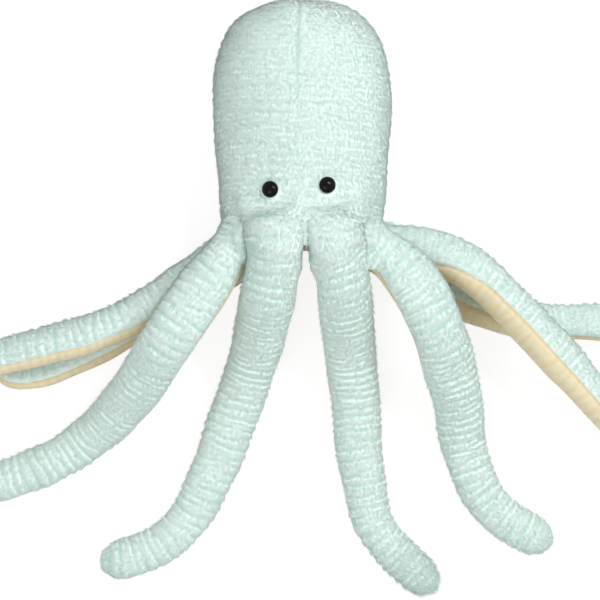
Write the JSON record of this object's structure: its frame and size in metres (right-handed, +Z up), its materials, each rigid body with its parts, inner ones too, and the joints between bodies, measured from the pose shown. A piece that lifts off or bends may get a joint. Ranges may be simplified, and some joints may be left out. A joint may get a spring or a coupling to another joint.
{
  "type": "plush pillow",
  "caption": "Soft plush octopus pillow with a rounded head, long stuffed tentacles and two domed safety eyes, lying on its back.",
  "frame": {"origin": "middle of the flattened patch on the back of the head, on the surface that the pillow lies on", "axes": "+X across the face to the viewer's right, +Y from the base of the head to its crown, +Z up out of the face"},
  "size_m": [0.9004, 0.6651, 0.1666],
  "materials": {
    "mint_plush": "long soft plush pile",
    "cream_plush": "short smooth plush pile",
    "fibre_filling": "loose polyester fibre",
    "eye_plastic": "high gloss black",
    "washer_plastic": "plain moulded"
  },
  "bodies": {
    "head": {"head_cover_front_left": "mint_plush", "head_cover_front_right": "mint_plush", "head_cover_back": "mint_plush", "head_filling": "fibre_filling", "base_panel": "cream_plush", "eye_left": "eye_plastic", "eye_washer_left": "washer_plastic", "eye_right": "eye_plastic", "eye_washer_right": "washer_plastic"},
    "tentacle_1": {"tentacle_1_top": "mint_plush", "tentacle_1_underside": "cream_plush", "tentacle_1_filling": "fibre_filling"},
    "tentacle_2": {"tentacle_2_top": "mint_plush", "tentacle_2_underside": "cream_plush", "tentacle_2_filling": "fibre_filling"},
    "tentacle_3": {"tentacle_3_top": "mint_plush", "tentacle_3_underside": "cream_plush", "tentacle_3_filling": "fibre_filling"},
    "tentacle_4": {"tentacle_4_top": "mint_plush", "tentacle_4_underside": "cream_plush", "tentacle_4_filling": "fibre_filling"},
    "tentacle_5": {"tentacle_5_top": "mint_plush", "tentacle_5_underside": "cream_plush", "tentacle_5_filling": "fibre_filling"},
    "tentacle_6": {"tentacle_6_top": "mint_plush", "tentacle_6_underside": "cream_plush", "tentacle_6_filling": "fibre_filling"},
    "tentacle_7": {"tentacle_7_top": "mint_plush", "tentacle_7_underside": "cream_plush", "tentacle_7_filling": "fibre_filling"},
    "tentacle_8": {"tentacle_8_top": "mint_plush", "tentacle_8_underside": "cream_plush", "tentacle_8_filling": "fibre_filling"}
  },
  "joints": [
    {"name": "tentacle_1_lift", "type": "hinge", "parent": "head", "child": "tentacle_1", "pos_m": [-0.07132, -0.1632, 0.11336], "axis": [-0.8112, 0.5848, 0], "range_deg": [0, 18]},
    {"name": "tentacle_2_lift", "type": "hinge", "parent": "head", "child": "tentacle_2", "pos_m": [-0.02838, -0.1632, 0.14343], "axis": [-0.9778, 0.2096, 0], "range_deg": [0, 25]},
    {"name": "tentacle_3_lift", "type": "hinge", "parent": "head", "child": "tentacle_3", "pos_m": [0.03438, -0.1632, 0.14343], "axis": [-0.9859, -0.1673, 0], "range_deg": [0, 25]},
    {"name": "tentacle_4_lift", "type": "hinge", "parent": "head", "child": "tentacle_4", "pos_m": [0.07732, -0.1632, 0.11336], "axis": [-0.8219, -0.5696, 0], "range_deg": [0, 20]},
    {"name": "tentacle_5_swing", "type": "hinge", "parent": "head", "child": "tentacle_5", "pos_m": [-0.07132, -0.1632, 0.06264], "axis": [0, 0, -1], "range_deg": [0, 12]},
    {"name": "tentacle_6_swing", "type": "hinge", "parent": "head", "child": "tentacle_6", "pos_m": [-0.03165, -0.1452, 0.0178], "axis": [0, 0, -1], "range_deg": [0, 8]},
    {"name": "tentacle_7_swing", "type": "hinge", "parent": "head", "child": "tentacle_7", "pos_m": [0.07732, -0.1632, 0.06264], "axis": [0, 0, 1], "range_deg": [0, 10]},
    {"name": "tentacle_8_swing", "type": "hinge", "parent": "head", "child": "tentacle_8", "pos_m": [0.03765, -0.1452, 0.0178], "axis": [0, 0, 1], "range_deg": [0, 8]}
  ]
}
